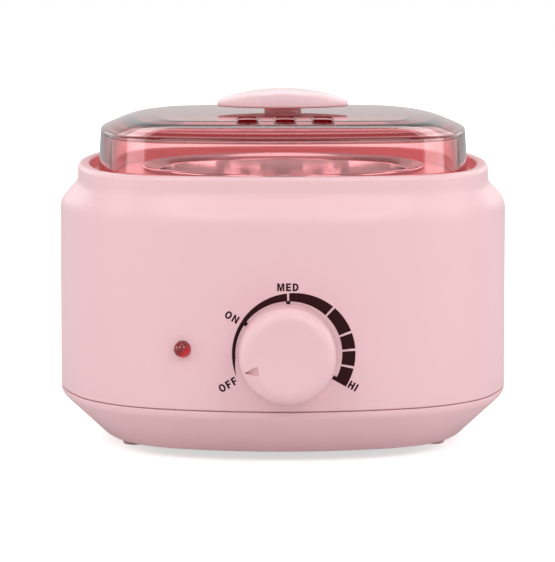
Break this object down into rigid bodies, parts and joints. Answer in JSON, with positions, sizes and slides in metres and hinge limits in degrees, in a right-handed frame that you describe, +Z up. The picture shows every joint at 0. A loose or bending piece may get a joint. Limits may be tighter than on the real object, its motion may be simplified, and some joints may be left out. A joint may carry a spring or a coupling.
{
  "type": "wax warmer",
  "caption": "Electric wax warmer: soft-square moulded housing, heated well with lift-out pot, clear tinted lid with a lozenge handle, thermostat knob and indicator lamp.",
  "frame": {"origin": "on the surface the feet stand on, under the middle of the pot", "axes": "+Z up; the control panel with the knob faces -Y and the mains inlet faces +Y; +X is to the right of someone facing the panel"},
  "size_m": [0.18, 0.196, 0.1406],
  "materials": {
    "body_pink": "satin moulded",
    "handle_pink": "polished moulded",
    "lid_rose": "clear tinted plastic",
    "lens_red": "clear red plastic",
    "pot_metal": "polished",
    "well_metal": "plain spun",
    "steel": "zinc plated",
    "brass": "plain",
    "ceramic": "unglazed",
    "felt": "glass-fibre felt",
    "rubber": "matt",
    "silicone": "matt",
    "black_plastic": "matt moulded",
    "lamp_glass": "clear"
  },
  "bodies": {
    "housing": {"upper_housing": "body_pink", "base_cover": "body_pink", "indicator_lens": "lens_red", "heating_well": "well_metal", "sensor_strap": "well_metal", "base_screws": "steel", "well_screws": "steel", "band_heater": "steel", "band_clamp": "steel", "thermal_fuse": "steel", "fuse_clip": "steel", "thermostat_bush": "steel", "thermostat_nut": "steel", "thermostat_terminals": "brass", "inlet_pins": "brass", "terminal_screws": "brass", "thermostat_body": "ceramic", "terminal_block": "ceramic", "insulation_wrap": "felt", "rubber_feet": "rubber", "well_gasket": "silicone", "mains_inlet": "black_plastic", "lamp_holder": "black_plastic", "neon_lamp": "lamp_glass"},
    "knob": {"knob_cap": "body_pink", "knob_spring": "steel", "thermostat_shaft": "steel"},
    "pot": {"wax_pot": "pot_metal"},
    "lid": {"lid_shell": "lid_rose", "lid_handle": "handle_pink", "handle_screws": "steel"}
  },
  "joints": [
    {"name": "knob_turn", "type": "hinge", "parent": "housing", "child": "knob", "pos_m": [0, -0.09, 0.0452], "axis": [0, 1, 0], "range_deg": [0, 230]},
    {"name": "pot_lift", "type": "slide", "parent": "housing", "child": "pot", "axis": [0, 0, 1], "range_m": [0, 0.12]},
    {"name": "lid_lift", "type": "slide", "parent": "pot", "child": "lid", "axis": [0, 0, 1], "range_m": [0, 0.12]}
  ]
}
